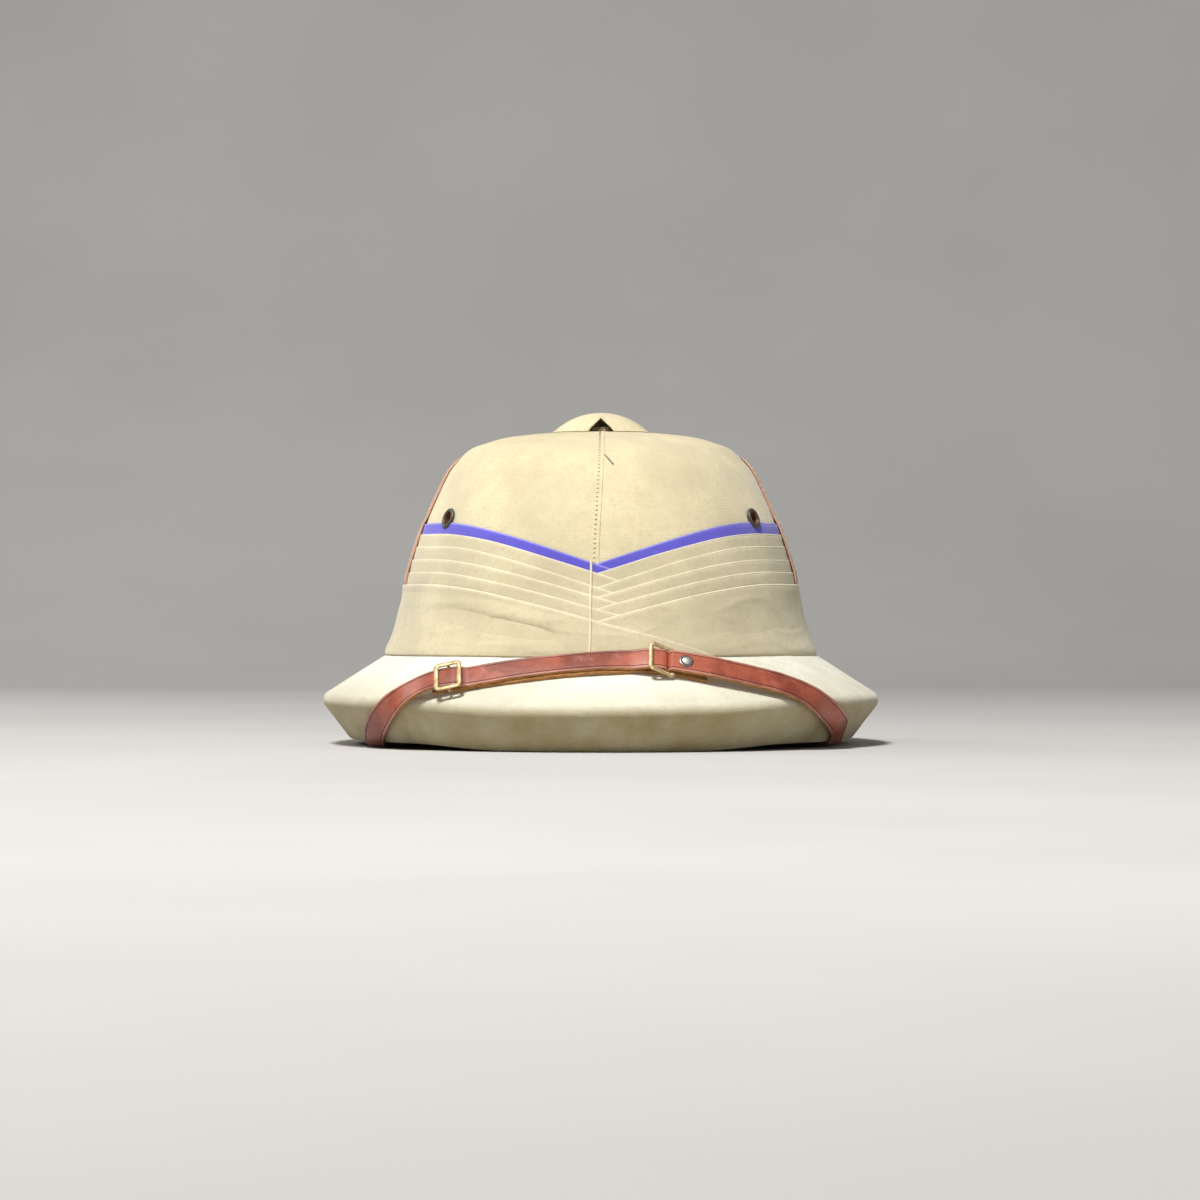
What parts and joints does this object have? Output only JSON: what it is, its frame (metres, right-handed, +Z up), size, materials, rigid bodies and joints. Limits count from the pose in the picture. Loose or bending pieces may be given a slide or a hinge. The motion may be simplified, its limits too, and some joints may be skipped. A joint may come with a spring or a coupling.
{
  "type": "pith helmet",
  "caption": "cloth-covered pith sun helmet with a drooping brim, a pleated band with a blue top fold, a domed ventilator, eyelets and a leather chin strap over the brim",
  "frame": {"origin": "centre of the helmet's plan, on the surface that it stands on", "axes": "+X to the right of someone who looks at the front, +Y to the back of the helmet, +Z up"},
  "size_m": [0.2898, 0.3438, 0.1729],
  "materials": {
    "cloth": "khaki-cream cotton drill over pith, lightly soiled",
    "pleats": "pleated cotton muslin",
    "blue": "light blue cotton fold",
    "flash": "salmon cloth patch",
    "leather": "reddish-brown strap leather with tooled lines and raw edges",
    "brass_wire": "worn brass",
    "gunmetal": "dark antique",
    "stud": "bright rivet"
  },
  "bodies": {
    "root": {"crown_shell": "cloth", "brim": "cloth", "ventilator_cap": "cloth", "ventilator_collar": "cloth", "pugaree": "pleats", "blue_band": "blue", "side_flash_left": "flash", "side_flash_right": "flash", "eyelet_left": "gunmetal", "eyelet_right": "gunmetal", "strap_left": "leather", "strap_right": "leather", "buckle_slide": "brass_wire", "buckle_end": "brass_wire", "strap_anchor_left": "brass_wire", "strap_anchor_right": "brass_wire", "strap_stud": "stud"}
  },
  "joints": []
}
